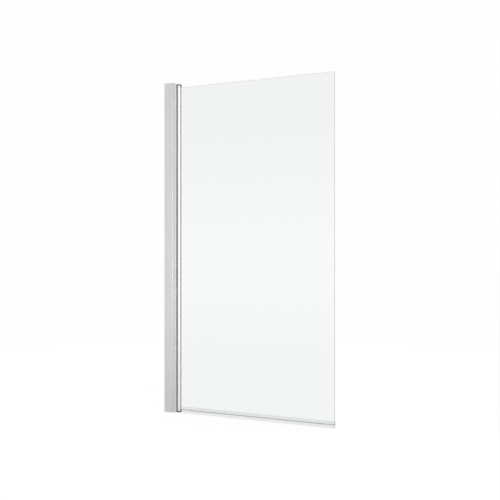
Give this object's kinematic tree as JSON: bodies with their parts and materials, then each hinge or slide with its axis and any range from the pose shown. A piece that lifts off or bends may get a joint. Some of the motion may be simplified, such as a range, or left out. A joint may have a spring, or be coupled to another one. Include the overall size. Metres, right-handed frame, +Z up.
{
  "type": "bath screen",
  "caption": "Pivoting glass bath screen: a wall channel holds an adjustable hinge post, and a framed clear glass leaf swings on pins above the bath rim.",
  "frame": {"origin": "on the wall face, in the middle of the wall channel's width, at the level of the bath rim", "axes": "+X from the wall along the closed screen, +Z up, +Y through the screen's thickness, away from the side that the picture shows"},
  "size_m": [0.8, 0.0341, 1.4],
  "materials": {
    "satin_alloy": "satin anodised silver",
    "bright_alloy": "polished bright silver",
    "grey_moulding": "fine matt",
    "black_moulding": "fine matt",
    "cast_bracket": "silver powder coat",
    "stainless": "turned and brushed",
    "nylon": "natural nylon",
    "grey_seal": "soft matt",
    "gasket_rubber": "soft matt",
    "clear_glass": "clear toughened, polished edges",
    "clear_seal": "clear flexible plastic"
  },
  "bodies": {
    "wall_side": {"wall_channel": "satin_alloy", "wall_channel_cap": "grey_moulding", "clamp_screws": "stainless", "clamp_nuts": "stainless", "screw_covers": "grey_moulding"},
    "post": {"hinge_post": "satin_alloy", "hinge_seal": "grey_seal", "lower_bracket": "cast_bracket", "lower_bracket_screws": "stainless", "lower_pivot_pin": "stainless", "lower_thrust_washer": "nylon", "upper_bracket": "cast_bracket", "upper_bracket_screws": "stainless", "upper_pivot_pin": "stainless", "upper_thrust_washer": "nylon"},
    "leaf": {"leaf_rail": "bright_alloy", "lower_rail_cap": "black_moulding", "lower_bush": "nylon", "upper_rail_cap": "black_moulding", "upper_bush": "nylon", "glass_panel": "clear_glass", "glazing_gasket": "gasket_rubber", "bottom_seal": "clear_seal"}
  },
  "joints": [
    {"name": "width_adjustment", "type": "slide", "parent": "wall_side", "child": "post", "axis": [1, 0, 0], "range_m": [-0.012, 0.003]},
    {"name": "screen_pivot", "type": "hinge", "parent": "post", "child": "leaf", "pos_m": [0.0691, 0, 0], "axis": [0, 0, 1], "range_deg": [-90, 90]}
  ]
}
